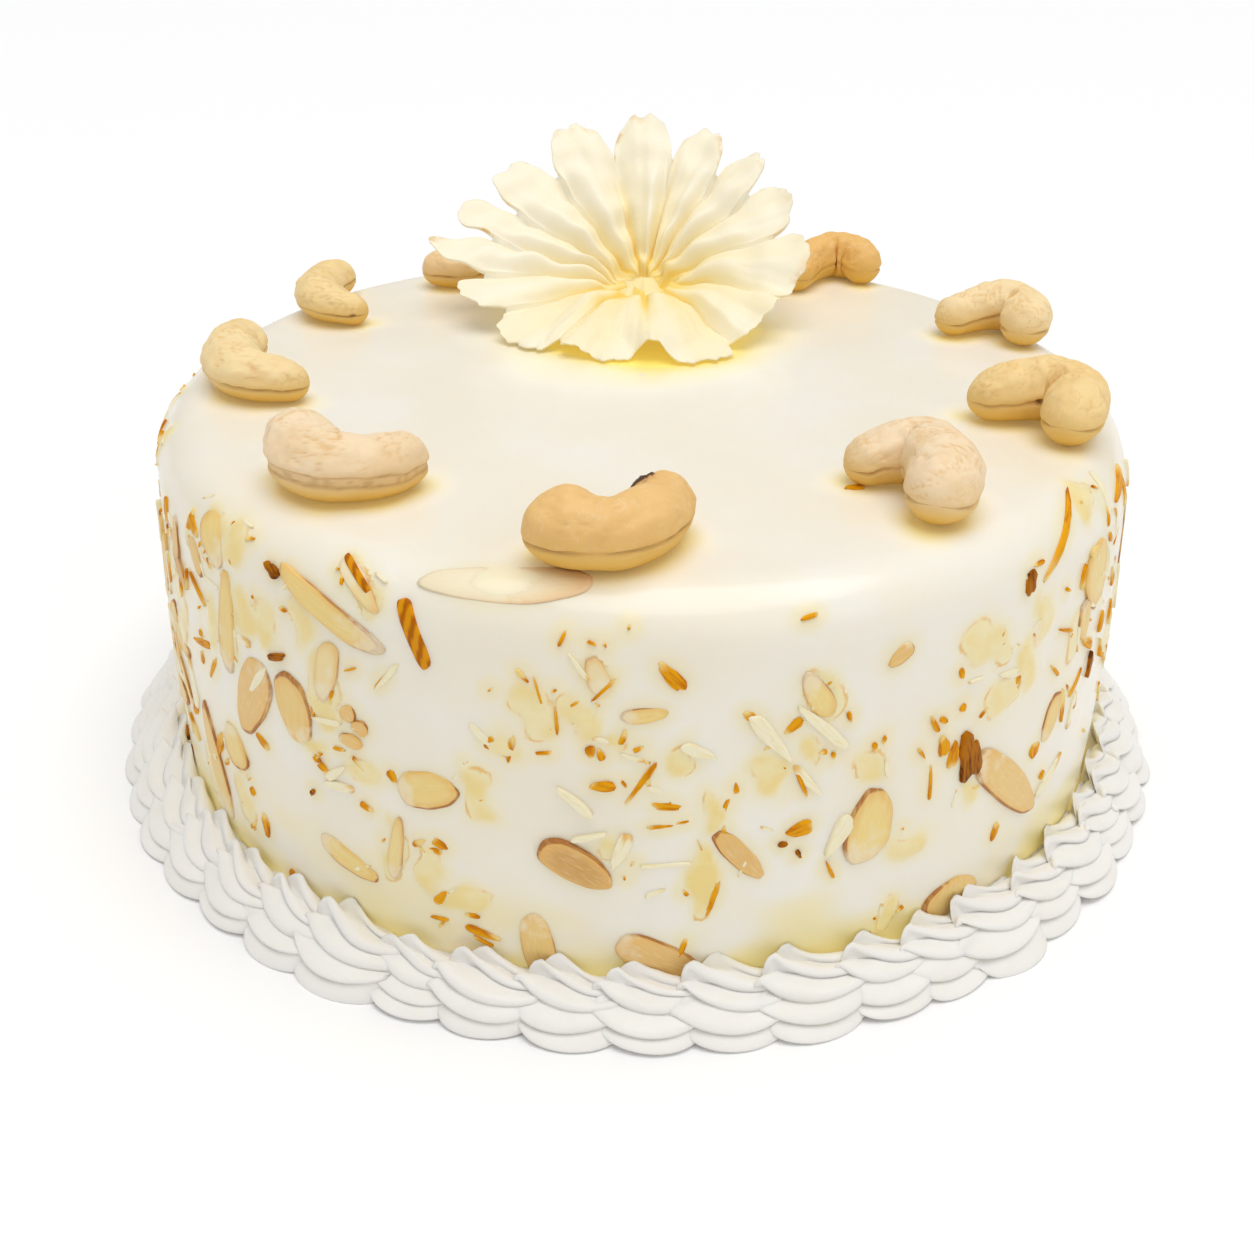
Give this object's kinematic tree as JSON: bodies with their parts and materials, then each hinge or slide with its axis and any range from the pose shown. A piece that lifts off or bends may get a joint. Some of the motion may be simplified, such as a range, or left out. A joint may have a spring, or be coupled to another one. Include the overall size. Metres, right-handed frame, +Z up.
{
  "type": "nut cake",
  "caption": "Round glazed layer cake with almond slices in its side, cashews and a petalled cream flower on top, and a piped shell border at its foot.",
  "frame": {"origin": "centre of the cake's flat underside", "axes": "+Z up, -Y towards the front of the cake (the side away from the flower), +X to the right seen from the front"},
  "size_m": [0.234, 0.2308, 0.1206],
  "materials": {
    "cake_glaze": "soft gloss ivory glaze",
    "border_cream": "soft matt whipped cream",
    "flower_cream": "soft satin cream",
    "cashew": "satin roasted nut"
  },
  "bodies": {
    "root": {"cake": "cake_glaze", "shell_border": "border_cream", "flower": "flower_cream", "cashew_1": "cashew", "cashew_2": "cashew", "cashew_3": "cashew", "cashew_4": "cashew", "cashew_5": "cashew", "cashew_6": "cashew", "cashew_7": "cashew", "cashew_8": "cashew", "cashew_9": "cashew", "cashew_10": "cashew"}
  },
  "joints": []
}
